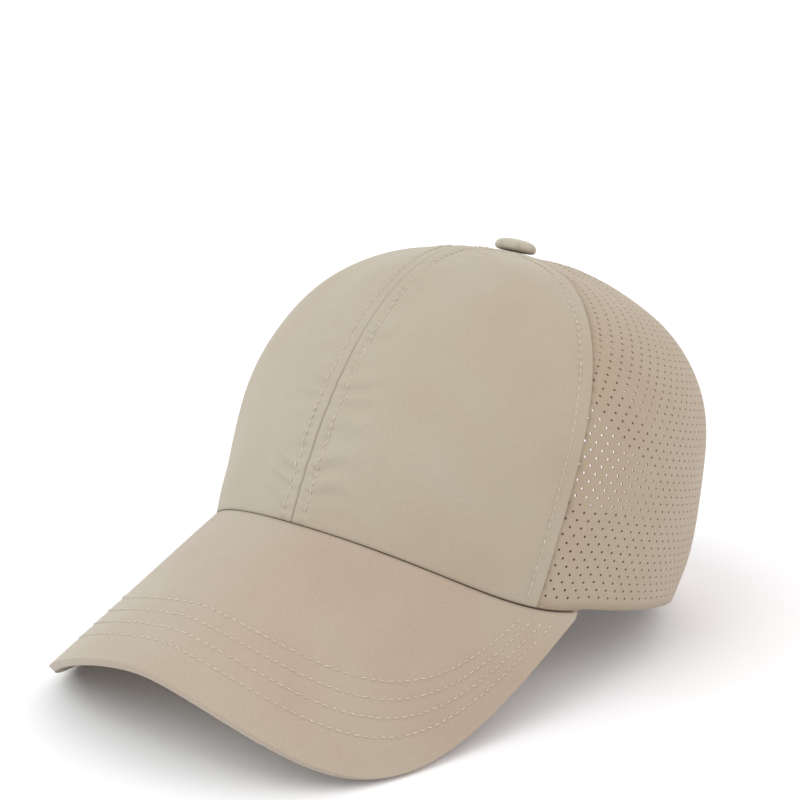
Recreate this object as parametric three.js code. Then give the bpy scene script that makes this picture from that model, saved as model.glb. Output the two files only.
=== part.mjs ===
// A cloth baseball cap with an open back for a ponytail, in millimetres.
// It is drawn level on the head first: the front faces -Y, the wearer's left is +X and the rim lies near Z 0.
// The last lines tip it back until it rests on its brim and its back strap.
import * as THREE from "three";

// Head opening, seen from above
const headHalfWidth = 81;
const headFront = 100;
const headBack = 97;
const headEgg = 0.05; // share by which the front is narrower than the back

// Crown
const crownHeight = 117.5;
const crownTopBack = 4.3; // the top sits this far behind the middle of the head
const frontRise = 11.4; // the rim lifts this far over the forehead
const sideLift = 1.3; // and this far behind the ears
const panelWall = 1.2;
const topHole = 3; // radius left open where the panels meet, for the button's shank
const seamGap = 0.3; // between two pieces that are sewn edge to edge

// How a section from the top to the rim is rounded: spread widens it, fall squares it and
// turn is the angle in degrees that it has turned through when it reaches the rim
const crownForm = {
  front: { spread: 0.71, fall: 0.9, turn: 80.4 },
  side: { spread: 1.02, fall: 0.65, turn: 103.7 },
  back: { spread: 0.66, fall: 0.89, turn: 106.6 },
};

// Side seams, in degrees round the head from the front
const sideSeamTurn = 60.5;
const sideSeamSweep = 10.5; // added at the top of the seam

// Brim
const brimEndTurn = 72.5; // the brim ends this far round the head
const brimReach = 62;
const brimSlope = 36.6; // degrees that the middle of the brim slopes down
const brimArchGain = 6.3; // the brim arches this much more for each head front that it runs forward
const brimSquareness = 0.27; // share of the arch that is held back for its sides
const brimCorner = 0.7; // under 1 fills out the front corners
const brimNose = 1.02; // over 1 draws in the middle of the front edge
const brimBulge = 0.068; // share that the sides swell by
const brimWall = 2.8;

// Ponytail opening, cut between the two side panels: share is of the half turn that it takes
const openingHalfTurn = 28.5;
const openingEdge = [
  { drop: 0.115, share: 0 },
  { drop: 0.15, share: 0.3 },
  { drop: 0.195, share: 0.54 },
  { drop: 0.28, share: 0.74 },
  { drop: 0.36, share: 0.82 },
  { drop: 0.5, share: 0.85 },
  { drop: 0.62, share: 0.95 },
  { drop: 0.75, share: 0.98 },
  { drop: 1, share: 1.02 },
];

// Crossing straps: each runs from high on one side, at a share of the opening's half turn, to low on the other
const crossStrapWidth = 15;
const crossStrapPath = [
  { share: -1, drop: 0.43 },
  { share: -0.84, drop: 0.457 },
  { share: -0.49, drop: 0.502 },
  { share: 0, drop: 0.56 },
  { share: 0.42, drop: 0.628 },
  { share: 0.7, drop: 0.68 },
  { share: 1, drop: 0.722 },
  { share: 1.15, drop: 0.745 },
];
const strapWall = 1.5;
const strapSlack = 3; // both straps hang this far inside the crown's curve where they cross
const layerGap = 0.5; // between two layers of cloth that lie one over the other

// Back strap
const backStrapHeight = 24;
const backStrapTuck = 5; // degrees that it runs on under each side panel
const restFlat = 1.5; // height by which the strap's lower edge is pressed flat where the cap rests

// Button: out is a share of its radius, up a share of its height
const buttonRadius = 7.9;
const buttonHeight = 5.6;
const buttonGap = 0.3;
const shankRadius = 1.8;
const shankLength = 2.4;
const buttonForm = [
  { out: 0.86, up: 0 },
  { out: 0.97, up: 0.12 },
  { out: 1, up: 0.3 },
  { out: 0.95, up: 0.55 },
  { out: 0.82, up: 0.76 },
  { out: 0.6, up: 0.91 },
  { out: 0.32, up: 0.98 },
];

// Fineness of the faces
const sectionSteps = 60;
const frontColumns = 12;
const sideColumns = 16;
const crownRows = 17;
const yokeRows = 3;
const brimColumns = 40;
const brimRows = 6;
const strapColumns = 26;
const strapRows = 3;
const buttonSides = 24;
const nudge = 0.002; // share of a length or turn over which a slope is measured

const { degToRad, radToDeg, lerp, smoothstep } = THREE.MathUtils;

// Reads a short table at a value of one column, along a smooth curve through its rows
function readTable(rows, from, to, value) {
  const last = rows.length - 2;
  const found = rows.findIndex((row) => row[from] > value) - 1;
  const low = found < -1 ? last : Math.min(Math.max(found, 0), last);
  const slope = (row) => {
    const before = rows[Math.max(row - 1, 0)];
    const after = rows[Math.min(row + 1, rows.length - 1)];
    return (after[to] - before[to]) / (after[from] - before[from]);
  };
  const span = rows[low + 1][from] - rows[low][from];
  const along = (value - rows[low][from]) / span;
  const ease = along * along * (3 - 2 * along);
  const leave = along * (1 - along) * (1 - along) * span * slope(low);
  const arrive = along * along * (along - 1) * span * slope(low + 1);
  return lerp(rows[low][to], rows[low + 1][to], ease) + leave + arrive;
}

// Outline of the head opening from above, at a turn in degrees: 0 is the front, 90 the wearer's left, 180 the back
function rimPlan(turn) {
  const angle = degToRad(turn);
  const long = Math.cos(angle) > 0 ? headFront : headBack;
  return {
    x: headHalfWidth * Math.sin(angle) * (1 - headEgg * Math.cos(angle)),
    y: -long * Math.cos(angle),
  };
}

const brimEnd = rimPlan(brimEndTurn);
const brimSlopeRatio = Math.tan(degToRad(brimSlope));
const brimArch = frontRise + brimSlopeRatio * (brimEnd.y + headFront);

// Height of the arched sheet that the front rim and the brim both lie on
function brimHeight(x, y) {
  const forward = brimEnd.y - y;
  const arch = brimArch + (brimArchGain * forward) / headFront;
  const across = Math.abs(x / brimEnd.x);
  const bow = (1 - brimSquareness) * across ** 2 + brimSquareness * across ** 4;
  return brimArch - arch * bow - brimSlopeRatio * forward;
}

function rimPoint(turn) {
  const { x, y } = rimPlan(turn);
  const behind = (Math.abs(turn) - brimEndTurn) / (180 - brimEndTurn);
  const z = behind <= 0 ? brimHeight(x, y) : sideLift * Math.sin(Math.PI * behind) ** 2;
  return new THREE.Vector3(x, y, z);
}

// One column of the crown's form, blended for a turn
function formAt(turn, column) {
  const facing = Math.cos(degToRad(turn));
  const front = Math.max(facing, 0) ** 2;
  const back = Math.max(-facing, 0) ** 2;
  const side = 1 - front - back;
  return front * crownForm.front[column] + side * crownForm.side[column] + back * crownForm.back[column];
}

// Points down the section at one turn, from the top of the crown to its rim
function sectionPoints(turn) {
  const rim = rimPoint(turn);
  const spread = formAt(turn, "spread");
  const fall = formAt(turn, "fall");
  const lastAngle = degToRad(formAt(turn, "turn"));
  const level = (angle) => Math.sign(Math.cos(angle)) * Math.abs(Math.cos(angle)) ** fall;
  const points = [];
  for (let step = 0; step <= sectionSteps; step += 1) {
    const angle = (lastAngle * step) / sectionSteps;
    const out = (Math.sin(angle) / Math.sin(lastAngle)) ** spread;
    const down = (1 - level(angle)) / (1 - level(lastAngle));
    points.push(
      new THREE.Vector3(rim.x * out, lerp(crownTopBack, rim.y, out), lerp(crownHeight, rim.z, down)),
    );
  }
  return points;
}

function sectionLength(turn) {
  const points = sectionPoints(turn);
  return points.reduce((sum, point, step) => (step ? sum + point.distanceTo(points[step - 1]) : 0), 0);
}

// Point on the crown's outer face: drop is the share of the section's length below the top
function crownFace(turn, drop) {
  const points = sectionPoints(turn);
  let left = drop * sectionLength(turn);
  for (let step = 1; step < points.length; step += 1) {
    const length = points[step].distanceTo(points[step - 1]);
    if (left <= length || step === points.length - 1)
      return points[step - 1].clone().lerp(points[step], left / length);
    left -= length;
  }
}

// Slopes of the face at a point: along the turn, per degree, and down the section, per whole drop
function crownSlopes(turn, drop) {
  const high = Math.min(drop + nudge, 1);
  const low = Math.max(drop - nudge, 0);
  const alongTurn = crownFace(turn + nudge, drop).sub(crownFace(turn - nudge, drop));
  const alongDrop = crownFace(turn, high).sub(crownFace(turn, low));
  return {
    alongTurn: alongTurn.divideScalar(2 * nudge),
    alongDrop: alongDrop.divideScalar(high - low),
  };
}

// Point at a depth inside the crown's outer face
function crownPoint(turn, drop, depth) {
  const { alongTurn, alongDrop } = crownSlopes(turn, drop);
  const outward = alongDrop.cross(alongTurn).normalize();
  return crownFace(turn, drop).addScaledVector(outward, -depth);
}

// Closed sheet of cloth: across runs round the head, along runs down, and layer 0 is the outer face
function sheetGeometry(columns, rows, pointAt) {
  const positions = [];
  for (const layer of [0, 1])
    for (let row = 0; row <= rows; row += 1)
      for (let column = 0; column <= columns; column += 1)
        positions.push(...pointAt(column / columns, row / rows, layer).toArray());
  const layerSize = (columns + 1) * (rows + 1);
  const corner = (column, row) => row * (columns + 1) + column;
  const faces = [];
  const addQuad = (a, b, c, d) => faces.push(a, b, c, a, c, d);
  for (let row = 0; row < rows; row += 1)
    for (let column = 0; column < columns; column += 1) {
      const a = corner(column, row);
      const b = corner(column, row + 1);
      const c = corner(column + 1, row + 1);
      const d = corner(column + 1, row);
      addQuad(a, b, c, d);
      addQuad(d + layerSize, c + layerSize, b + layerSize, a + layerSize);
    }
  const addEdge = (a, b) => addQuad(b, a, a + layerSize, b + layerSize);
  for (let row = 0; row < rows; row += 1) {
    addEdge(corner(0, row), corner(0, row + 1));
    addEdge(corner(columns, row + 1), corner(columns, row));
  }
  for (let column = 0; column < columns; column += 1) {
    addEdge(corner(column, rows), corner(column + 1, rows));
    addEdge(corner(column + 1, 0), corner(column, 0));
  }
  const geometry = new THREE.BufferGeometry();
  geometry.setAttribute("position", new THREE.Float32BufferAttribute(positions, 3));
  geometry.setIndex(faces);
  geometry.computeVertexNormals();
  return geometry;
}

const clothMaterial = () => new THREE.MeshStandardMaterial({ color: 0xbdb199, roughness: 0.85, metalness: 0 });
const meshMaterial = () => new THREE.MeshStandardMaterial({ color: 0xb5a78d, roughness: 0.9, metalness: 0 });
const strapMaterial = () => new THREE.MeshStandardMaterial({ color: 0xb3a28c, roughness: 0.9, metalness: 0 });

function namedMesh(name, geometry, material) {
  const mesh = new THREE.Mesh(geometry, material);
  mesh.name = name;
  return mesh;
}

// Degrees that take half a seam's gap at a point of the crown
function seamEase(turn, drop) {
  const point = crownFace(turn, drop);
  return radToDeg(seamGap / 2 / Math.hypot(point.x, point.y - crownTopBack));
}

const sideSeamAt = (drop) => sideSeamTurn + sideSeamSweep * (1 - drop);
const openingAt = (drop) =>
  drop <= openingEdge[0].drop ? 0 : openingHalfTurn * readTable(openingEdge, "drop", "share", drop);

// A crown panel between two edges, on the wearer's left for hand 1 and the right for hand -1
function crownPanel(columns, rows, dropAt, firstTurn, lastTurn, hand) {
  return sheetGeometry(columns, rows, (across, along, layer) => {
    const drop = dropAt(along);
    const share = hand > 0 ? across : 1 - across;
    const first = firstTurn(drop);
    const last = lastTurn(drop);
    const start = first + seamEase(first, drop);
    const end = last - seamEase(last, drop);
    return crownPoint(hand * lerp(start, end, share), drop, layer * panelWall);
  });
}

const topDrop = topHole / sectionLength(90);

function frontPanel(hand) {
  const dropAt = (along) => lerp(topDrop, 1, along);
  return crownPanel(frontColumns, crownRows, dropAt, () => 0, sideSeamAt, hand);
}

// The rows of a side panel divide at the opening's top, which falls on one of them
function sidePanel(hand) {
  const rows = yokeRows + crownRows;
  const yokeShare = yokeRows / rows;
  const yokeDrop = openingEdge[0].drop;
  const dropAt = (along) =>
    along <= yokeShare
      ? lerp(topDrop, yokeDrop, along / yokeShare)
      : lerp(yokeDrop, 1, (along - yokeShare) / (1 - yokeShare));
  return crownPanel(sideColumns, rows, dropAt, sideSeamAt, (drop) => 180 - openingAt(drop), hand);
}

// Point of the brim: swing runs from -90 to 90 degrees, run from the crown to the outer edge
function brimPoint(swing, run, depth) {
  const angle = degToRad(swing);
  const side = Math.abs(Math.sin(angle));
  const ahead = Math.abs(Math.cos(angle));
  const swell = 1 + brimBulge * 4 * side * ahead ** 2;
  const outerX = brimEnd.x * Math.sign(angle) * side ** brimCorner * swell;
  const outerY = brimEnd.y - (brimEnd.y + headFront + brimReach) * ahead ** brimNose;
  const rimTurn = (swing / 90) * brimEndTurn;
  const rim = rimPlan(rimTurn);
  const next = rimPlan(rimTurn + nudge);
  const outward = new THREE.Vector2(next.y - rim.y, rim.x - next.x).normalize();
  const x = lerp(rim.x + outward.x * seamGap, outerX, run);
  const y = lerp(rim.y + outward.y * seamGap, outerY, run);
  const slopeX = (brimHeight(x + nudge, y) - brimHeight(x - nudge, y)) / (2 * nudge);
  const slopeY = (brimHeight(x, y + nudge) - brimHeight(x, y - nudge)) / (2 * nudge);
  const up = new THREE.Vector3(-slopeX, -slopeY, 1).normalize();
  return new THREE.Vector3(x, y, brimHeight(x, y)).addScaledVector(up, -depth);
}

const brimTip = 88; // the swing at which the pointed ends of the brim are cut off

function brim() {
  return sheetGeometry(brimColumns, brimRows, (across, along, layer) =>
    brimPoint(lerp(-brimTip, brimTip, across), along, layer * brimWall),
  );
}

const strapDepth = panelWall + layerGap;

// A crossing strap that starts high on the wearer's left for hand 1; depth is added where the straps cross
function crossStrap(hand, extraDepth) {
  const firstShare = crossStrapPath[0].share;
  const lastShare = crossStrapPath[crossStrapPath.length - 1].share;
  const centreAt = (along) => {
    const share = lerp(firstShare, lastShare, along);
    return {
      turn: 180 + hand * openingHalfTurn * share,
      drop: readTable(crossStrapPath, "share", "drop", share),
    };
  };
  return sheetGeometry(strapColumns, strapRows, (across, along, layer) => {
    const place = hand > 0 ? across : 1 - across;
    const centre = centreAt(place);
    const ahead = centreAt(place + nudge);
    const behind = centreAt(place - nudge);
    const slopes = crownSlopes(centre.turn, centre.drop);
    const perTurn = slopes.alongTurn.length();
    const perDrop = slopes.alongDrop.length();
    const way = new THREE.Vector2(
      hand * (ahead.turn - behind.turn) * perTurn,
      hand * (ahead.drop - behind.drop) * perDrop,
    ).normalize();
    const aside = (along - 0.5) * crossStrapWidth;
    const turn = centre.turn - (way.y * aside) / perTurn;
    const drop = centre.drop + (way.x * aside) / perDrop;
    const sag = smoothstep(place, 0.08, 0.34) * smoothstep(1 - place, 0.08, 0.34);
    const depth = strapDepth + (strapSlack + extraDepth) * sag + layer * strapWall;
    return crownPoint(turn, drop, depth);
  });
}

// The cap rests on the lowest points of the brim and on the middle of the back strap's lower edge
const foot = crownPoint(180, 1, strapDepth);
foot.z += restFlat;
let floorSlope = 0;
for (let step = 0; step <= brimColumns; step += 1)
  for (const depth of [0, brimWall]) {
    const point = brimPoint(lerp(-brimTip, brimTip, step / brimColumns), 1, depth);
    floorSlope = Math.max(floorSlope, (foot.z - point.z) / (foot.y - point.y));
  }

function backStrap() {
  const halfTurn = openingAt(1) + backStrapTuck;
  return sheetGeometry(strapColumns, strapRows, (across, along, layer) => {
    const turn = 180 + lerp(-halfTurn, halfTurn, across);
    const drop = lerp(1 - backStrapHeight / sectionLength(turn), 1, along);
    const point = crownPoint(turn, drop, strapDepth + layer * strapWall);
    const floor = foot.z - (foot.y - point.y) * floorSlope;
    point.z = Math.max(point.z, floor);
    return point;
  });
}

function button() {
  const profile = [
    new THREE.Vector2(0, -shankLength),
    new THREE.Vector2(shankRadius, -shankLength),
    new THREE.Vector2(shankRadius, 0),
    ...buttonForm.map(({ out, up }) => new THREE.Vector2(out * buttonRadius, up * buttonHeight)),
    new THREE.Vector2(0, buttonHeight),
  ];
  return new THREE.LatheGeometry(profile, buttonSides).rotateX(Math.PI / 2);
}

const buttonMesh = namedMesh("button", button(), clothMaterial());
buttonMesh.position.set(0, crownTopBack, crownHeight + buttonGap);

const worn = new THREE.Group();
worn.add(
  namedMesh("front_panel_left", frontPanel(1), clothMaterial()),
  namedMesh("front_panel_right", frontPanel(-1), clothMaterial()),
  namedMesh("side_panel_left", sidePanel(1), meshMaterial()),
  namedMesh("side_panel_right", sidePanel(-1), meshMaterial()),
  namedMesh("brim", brim(), clothMaterial()),
  namedMesh("cross_strap_outer", crossStrap(1, 0), strapMaterial()),
  namedMesh("cross_strap_inner", crossStrap(-1, strapWall + layerGap), strapMaterial()),
  namedMesh("back_strap", backStrap(), strapMaterial()),
  buttonMesh,
);
worn.rotation.x = -Math.atan(floorSlope);

// The part's origin is on the floor, under the middle of the resting cap
const resting = new THREE.Box3().setFromObject(worn, true);
worn.position.set(0, -(resting.min.y + resting.max.y) / 2, -resting.min.z);

const cap = new THREE.Group();
cap.add(worn);
export default cap;
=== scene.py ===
import math
import bpy
import numpy as np
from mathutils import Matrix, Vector


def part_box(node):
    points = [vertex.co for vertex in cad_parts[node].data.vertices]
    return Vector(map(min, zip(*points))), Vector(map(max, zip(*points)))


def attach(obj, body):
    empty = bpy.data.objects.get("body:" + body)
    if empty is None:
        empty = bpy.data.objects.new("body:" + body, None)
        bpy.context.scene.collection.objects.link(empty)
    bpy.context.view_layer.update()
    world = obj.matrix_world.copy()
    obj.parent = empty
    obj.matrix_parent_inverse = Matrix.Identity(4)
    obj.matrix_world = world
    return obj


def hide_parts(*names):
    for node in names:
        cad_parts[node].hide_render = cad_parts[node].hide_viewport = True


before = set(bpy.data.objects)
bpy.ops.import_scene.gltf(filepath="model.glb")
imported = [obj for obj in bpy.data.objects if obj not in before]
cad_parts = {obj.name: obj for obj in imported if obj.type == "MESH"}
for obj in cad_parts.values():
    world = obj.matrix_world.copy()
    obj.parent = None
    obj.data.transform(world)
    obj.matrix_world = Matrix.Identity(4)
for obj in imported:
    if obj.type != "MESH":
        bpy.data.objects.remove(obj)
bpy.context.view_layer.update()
bpy.ops.object.select_all(action="DESELECT")
print("frame loaded")

mm = 0.001

# the crown on the head, in millimetres and degrees
# the front faces -Y, the wearer's left is +X and the rim lies near Z 0
# spread, fall and turn round a section from the top to the rim, at the front, the side and the back
crownForm = {
    "halfWidth": 81, "front": 100, "back": 97, "egg": 0.05,
    "height": 117.5, "topBack": 4.3, "frontRise": 11.4, "sideLift": 1.3,
    "wall": 1.2, "seamGap": 0.3, "topHole": 3, "steps": 60, "soften": 0.06,
    "spread": (0.71, 1.02, 0.66), "fall": (0.9, 0.65, 0.89), "turn": (80.4, 103.7, 106.6),
    "seamTurn": 60.5, "seamSweep": 10.5,
    "topSink": 1.2, "sinkDown": 24, "sinkReach": 15, "topClear": (7, 20), "seamStart": (4, 10),
}

openingForm = {
    "halfTurn": 28.5,
    "drop": (0.115, 0.15, 0.195, 0.28, 0.36, 0.5, 0.62, 0.75, 1),
    "share": (0, 0.3, 0.54, 0.74, 0.82, 0.85, 0.95, 0.98, 1.02),
}

brimForm = {
    "endTurn": 72.5, "reach": 62, "slope": 36.6, "archGain": 6.3, "squareness": 0.27,
    "corner": 0.7, "nose": 1.02, "bulge": 0.068, "wall": 2.8, "tip": 88,
    "columns": 210, "rows": 130, "edgeRound": 1.25,
    "stitchRows": (12.6, 18.9, 25.2, 31.5), "stitchGroove": 0.16, "grooveWidth": 0.8, "rowEnd": 2,
    "dentDepth": 0.1, "dentSize": 34, "seamWidth": 0.6, "seamShade": 0.55,
}

strapForm = {
    "width": 15, "wall": 1.5, "slack": 3, "layerGap": 0.5, "columns": 150, "rows": 20, "flatLength": 105,
    "share": (-1, -0.84, -0.49, 0, 0.42, 0.7, 1, 1.15),
    "drop": (0.43, 0.457, 0.502, 0.56, 0.628, 0.68, 0.722, 0.745),
    "stitchIn": 1.9, "stitchDip": 0.22, "dipWidth": 0.6, "stitchSink": 0.12, "edgeRound": 0.45,
    "sagStart": 0.08, "sagFull": 0.34, "dentDepth": 0.2, "dentSize": 26,
}

backStrapForm = {"height": 24, "tuck": 5, "restFlat": 1.5, "columns": 120, "rows": 26, "perDegree": 1.6}

nudge = 0.002  # the small step that slopes are measured with


def readCurve(places, values, at):  # smooth curve through the rows of a short table
    places, values, at = np.array(places, float), np.array(values, float), np.asarray(at, float)
    index = np.arange(len(places))
    before, after = np.maximum(index - 1, 0), np.minimum(index + 1, len(places) - 1)
    slopes = (values[after] - values[before]) / (places[after] - places[before])
    low = np.clip(np.searchsorted(places, at, side="right") - 1, 0, len(places) - 2)
    span = places[low + 1] - places[low]
    along = (at - places[low]) / span
    ease = along * along * (3 - 2 * along)
    leave = along * (1 - along) ** 2 * span * slopes[low]
    arrive = along * along * (along - 1) * span * slopes[low + 1]
    return values[low] + (values[low + 1] - values[low]) * ease + leave + arrive


def smoothStep(value, low, high):
    share = np.clip((value - low) / (high - low), 0, 1)
    return share * share * (3 - 2 * share)


def bell(value, middle, width):
    return np.exp(-(((value - middle) / width) ** 2))


def softNoise(places, size, seed):  # gentle bumps about one size across, between -1 and 1
    dice = np.random.RandomState(seed)
    total = np.zeros(len(places))
    for wave in range(7):
        way = dice.normal(size=places.shape[1])
        way /= np.linalg.norm(way)
        length = size * dice.uniform(0.7, 1.6)
        total += np.sin(2 * math.pi * (places @ way) / length + dice.uniform(0, 2 * math.pi))
    return total / 3


def rimPlan(turn):
    angle = np.radians(turn)
    reach = np.where(np.cos(angle) > 0, crownForm["front"], crownForm["back"])
    across = crownForm["halfWidth"] * np.sin(angle) * (1 - crownForm["egg"] * np.cos(angle))
    return across, -reach * np.cos(angle)


brimEndX, brimEndY = (float(value) for value in rimPlan(brimForm["endTurn"]))
brimSlope = math.tan(math.radians(brimForm["slope"]))
brimArch = crownForm["frontRise"] + brimSlope * (brimEndY + crownForm["front"])


def brimHeight(x, y):  # the arched sheet that the front rim and the brim both lie on
    forward = brimEndY - y
    arch = brimArch + brimForm["archGain"] * forward / crownForm["front"]
    across = np.abs(x / brimEndX)
    bow = (1 - brimForm["squareness"]) * across ** 2 + brimForm["squareness"] * across ** 4
    return brimArch - arch * bow - brimSlope * forward


def rimPoint(turn):
    x, y = rimPlan(turn)
    behind = (np.abs(turn) - brimForm["endTurn"]) / (180 - brimForm["endTurn"])
    lifted = crownForm["sideLift"] * np.sin(math.pi * behind) ** 2
    return np.stack([x, y, np.where(behind <= 0, brimHeight(x, y), lifted)], -1)


def formAt(turn, column):
    facing = np.cos(np.radians(turn))
    front, back = np.maximum(facing, 0) ** 2, np.maximum(-facing, 0) ** 2
    atFront, atSide, atBack = crownForm[column]
    return front * atFront + (1 - front - back) * atSide + back * atBack


def sectionPoints(turn):  # points down the section at each turn, from the top of the crown to its rim
    rim = rimPoint(turn)
    last = np.radians(formAt(turn, "turn"))[:, None]
    fall = formAt(turn, "fall")[:, None]
    angle = last * np.linspace(0, 1, crownForm["steps"] + 1)

    def level(at):
        return np.cos(at) / (np.cos(at) ** 2 + crownForm["soften"] ** 2) ** ((1 - fall) / 2)

    out = (np.sin(angle) / np.sin(last)) ** formAt(turn, "spread")[:, None]
    down = (level(0) - level(angle)) / (level(0) - level(last))
    return np.stack([
        rim[:, :1] * out,
        crownForm["topBack"] + (rim[:, 1:2] - crownForm["topBack"]) * out,
        crownForm["height"] + (rim[:, 2:] - crownForm["height"]) * down,
    ], -1)


def sectionLength(turn):
    points = sectionPoints(np.atleast_1d(np.asarray(turn, float)))
    return np.linalg.norm(np.diff(points, axis=1), axis=2).sum(1)


def crownFace(turn, drop):  # point on the outer face, drop being the share of the section below the top
    points = sectionPoints(turn)
    lengths = np.linalg.norm(np.diff(points, axis=1), axis=2)
    run = np.cumsum(lengths, axis=1)
    want = drop * run[:, -1]
    step = np.clip((run < want[:, None]).sum(1), 0, crownForm["steps"] - 1)
    row = np.arange(len(turn))
    share = ((want - run[row, step]) / lengths[row, step] + 1)[:, None]
    return points[row, step] * (1 - share) + points[row, step + 1] * share


def crownSlopes(turn, drop):  # along the turn, per degree, and down the section, per whole drop
    high, low = np.minimum(drop + nudge, 1), np.maximum(drop - nudge, 0)
    alongTurn = (crownFace(turn + nudge, drop) - crownFace(turn - nudge, drop)) / (2 * nudge)
    alongDrop = (crownFace(turn, high) - crownFace(turn, low)) / (high - low)[:, None]
    return alongTurn, alongDrop


def crownPoint(turn, drop, depth):
    turn, drop = np.asarray(turn, float), np.asarray(drop, float)
    alongTurn, alongDrop = crownSlopes(turn, drop)
    outward = np.cross(alongDrop, alongTurn)
    outward /= np.linalg.norm(outward, axis=1)[:, None]
    return crownFace(turn, drop) - outward * np.broadcast_to(depth, turn.shape)[:, None], outward


def brimPoint(swing, run, depth):  # swing runs from -90 to 90 degrees, run from the crown to the outer edge
    angle = np.radians(swing)
    side, ahead = np.abs(np.sin(angle)), np.abs(np.cos(angle))
    swell = 1 + brimForm["bulge"] * 4 * side * ahead ** 2
    outerX = brimEndX * np.sign(angle) * side ** brimForm["corner"] * swell
    outerY = brimEndY - (brimEndY + crownForm["front"] + brimForm["reach"]) * ahead ** brimForm["nose"]
    rimTurn = swing / 90 * brimForm["endTurn"]
    rimX, rimY = rimPlan(rimTurn)
    nextX, nextY = rimPlan(rimTurn + nudge)
    way = np.stack([nextY - rimY, rimX - nextX], -1)
    way /= np.linalg.norm(way, axis=1)[:, None]
    startX, startY = rimX + way[:, 0] * crownForm["seamGap"], rimY + way[:, 1] * crownForm["seamGap"]
    x, y = startX + (outerX - startX) * run, startY + (outerY - startY) * run
    slopeX = (brimHeight(x + nudge, y) - brimHeight(x - nudge, y)) / (2 * nudge)
    slopeY = (brimHeight(x, y + nudge) - brimHeight(x, y - nudge)) / (2 * nudge)
    up = np.stack([-slopeX, -slopeY, np.ones_like(x)], -1)
    up /= np.linalg.norm(up, axis=1)[:, None]
    point = np.stack([x, y, brimHeight(x, y)], -1)
    return point - up * np.broadcast_to(depth, x.shape)[:, None], up


def openingAt(drop):
    share = readCurve(openingForm["drop"], openingForm["share"], drop)
    return np.where(drop <= openingForm["drop"][0], 0, openingForm["halfTurn"] * share)


def seamAt(drop):
    return crownForm["seamTurn"] + crownForm["seamSweep"] * (1 - drop)


def seamEase(turn, drop):  # degrees that take half a seam's gap
    point = crownFace(turn, drop)
    return np.degrees(crownForm["seamGap"] / 2 / np.hypot(point[:, 0], point[:, 1] - crownForm["topBack"]))


topDrop = crownForm["topHole"] / sectionLength(90)[0]

# the cap tips back until it rests on its brim and on its back strap
strapDepth = crownForm["wall"] + strapForm["layerGap"]
foot = crownPoint([180.0], [1.0], strapDepth)[0][0] + np.array([0, 0, backStrapForm["restFlat"]])
edgeSwing = np.tile(np.linspace(-brimForm["tip"], brimForm["tip"], 41), 2)
edgeDepth = np.repeat([0, brimForm["wall"]], 41)
edge = brimPoint(edgeSwing, np.ones(82), edgeDepth)[0]
floorSlope = float(((foot[2] - edge[:, 2]) / (foot[1] - edge[:, 1])).max())
tilt = math.atan(floorSlope)
turned = np.array([[1, 0, 0], [0, math.cos(tilt), math.sin(tilt)], [0, -math.sin(tilt), math.cos(tilt)]])
brimLow = np.array(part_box("brim")[0])
edgeTurned = edge @ turned.T * mm
shift = np.array([0, brimLow[1] - edgeTurned[:, 1].min(), brimLow[2] - edgeTurned[:, 2].min()])


def toRest(points):  # from millimetres on the head to metres in the frame
    return points @ turned.T * mm + shift


def selectOnly(piece):
    bpy.ops.object.select_all(action="DESELECT")
    piece.select_set(True)
    bpy.context.view_layer.objects.active = piece


def writeCloth(piece, flat, shade):  # the cloth's flat places, and how much painted shade darkens each point at seams, folds and the rim joint
    mesh = piece.data
    while mesh.uv_layers:
        mesh.uv_layers.remove(mesh.uv_layers[0])
    layer = mesh.uv_layers.new(name="cloth")
    corner = np.empty(len(mesh.loops), int)
    mesh.loops.foreach_get("vertex_index", corner)
    layer.data.foreach_set("uv", (flat[corner] * mm).astype(np.float32).ravel())
    # seamShade holds painted shade: seam grooves, folds and the rim joint darkened in colour
    mark = mesh.attributes.new("seamShade", "FLOAT", "POINT")
    mark.data.foreach_set("value", np.asarray(shade, np.float32))


def addGrid(name, columns, rows):  # a flat grid whose share across and share along each point keeps
    bpy.ops.object.select_all(action="DESELECT")
    bpy.ops.mesh.primitive_grid_add(x_subdivisions=columns, y_subdivisions=rows, size=1)
    piece = bpy.context.object
    piece.name = piece.data.name = name
    place = np.empty(len(piece.data.vertices) * 3)
    piece.data.vertices.foreach_get("co", place)
    place = place.reshape(-1, 3)
    return piece, place[:, 0] + 0.5, 0.5 - place[:, 1]


def setPlaces(piece, points):
    piece.data.vertices.foreach_set("co", toRest(points).ravel())
    piece.data.update()


def thicken(piece, wall, edgeRound=0, thinShare=None):  # thinShare of the wall is left away from the hems
    selectOnly(piece)
    bpy.ops.object.modifier_add(type="SOLIDIFY")
    solid = piece.modifiers[-1]
    solid.thickness, solid.offset, solid.use_even_offset = wall * mm, -1, True
    if thinShare:
        solid.vertex_group, solid.thickness_vertex_group = "hem", thinShare
    bpy.ops.object.modifier_apply(modifier=solid.name)
    if edgeRound:
        bpy.ops.object.modifier_add(type="BEVEL")
        bevel = piece.modifiers[-1]
        bevel.width, bevel.segments, bevel.limit_method = edgeRound * mm, 3, "ANGLE"
        bevel.angle_limit = math.radians(55)
        bpy.ops.object.modifier_apply(modifier=bevel.name)
    bpy.ops.object.shade_smooth_by_angle(angle=math.radians(45))


def ready(piece, material, slot, *nodes):
    piece.data.materials.clear()
    piece.data.materials.append(material)
    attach(piece, "root")
    if nodes:
        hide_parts(*nodes)


def addNode(tree, kind, inputs=None, **settings):
    node = tree.nodes.new(kind)
    for key, value in settings.items():
        setattr(node, key, value)
    for key, value in (inputs or {}).items():
        if isinstance(value, bpy.types.NodeSocket):
            tree.links.new(value, node.inputs[key])
        else:
            node.inputs[key].default_value = value
    return node


def addMath(tree, operation, *values):
    return addNode(tree, "ShaderNodeMath", dict(enumerate(values)), operation=operation).outputs[0]


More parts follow.
